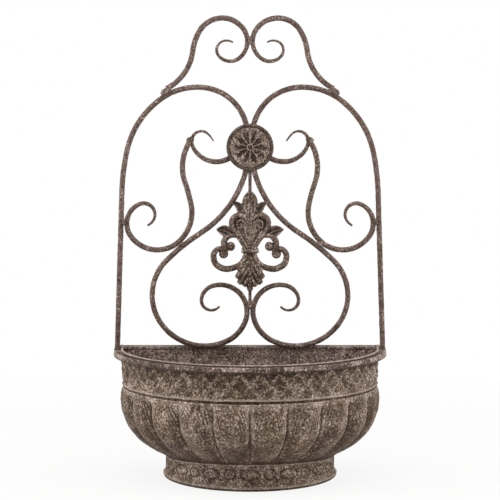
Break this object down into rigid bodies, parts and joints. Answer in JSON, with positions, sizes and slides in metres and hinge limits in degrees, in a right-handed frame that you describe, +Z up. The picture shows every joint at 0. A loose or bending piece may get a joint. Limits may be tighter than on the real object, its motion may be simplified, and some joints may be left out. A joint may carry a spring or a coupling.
{
  "type": "wall planter",
  "caption": "Half-round wall planter: a lobed sheet-metal basin on a moulded foot, under an arched scrollwork back with a rosette and a cast fleur-de-lis.",
  "frame": {"origin": "middle of the bounding box in X and Y, at the underside of the foot", "axes": "+Z up, +Y into the wall that the flat back hangs on, +X to the right as seen from the front"},
  "size_m": [0.457, 0.23, 0.7663],
  "materials": {
    "basin_sheet": "mottled grey-brown finish on embossed sheet steel, matt",
    "inside_sheet": "dark brown finish on sheet steel, matt",
    "bar_iron": "grey-brown antiqued finish on round steel bar, speckled",
    "cast_pieces": "dark brown antiqued finish on rough castings",
    "weld_metal": "lumpy weld metal under the same finish, a little paler"
  },
  "bodies": {
    "root": {"rolled_rim": "basin_sheet", "lattice_band": "basin_sheet", "gadrooned_bowl": "basin_sheet", "foot_band": "basin_sheet", "floor_plate": "inside_sheet", "back_plate": "inside_sheet", "arch_bar_left": "bar_iron", "arch_bar_right": "bar_iron", "crest_scroll_left": "bar_iron", "crest_scroll_right": "bar_iron", "hook_scroll_left": "bar_iron", "hook_scroll_right": "bar_iron", "lower_scroll_left": "bar_iron", "lower_scroll_right": "bar_iron", "s_scroll_left": "bar_iron", "s_scroll_right": "bar_iron", "centre_rod": "bar_iron", "rosette": "cast_pieces", "fleur_casting": "cast_pieces", "weld_crest_centre": "weld_metal", "weld_lower_centre": "weld_metal", "weld_crest_foot_left": "weld_metal", "weld_crest_foot_right": "weld_metal", "weld_s_side_left": "weld_metal", "weld_s_side_right": "weld_metal", "weld_s_lower_left": "weld_metal", "weld_s_lower_right": "weld_metal", "weld_s_top_left": "weld_metal", "weld_s_top_right": "weld_metal", "weld_arch_foot_left": "weld_metal", "weld_arch_foot_right": "weld_metal", "weld_plate_left": "weld_metal", "weld_plate_right": "weld_metal"}
  },
  "joints": []
}
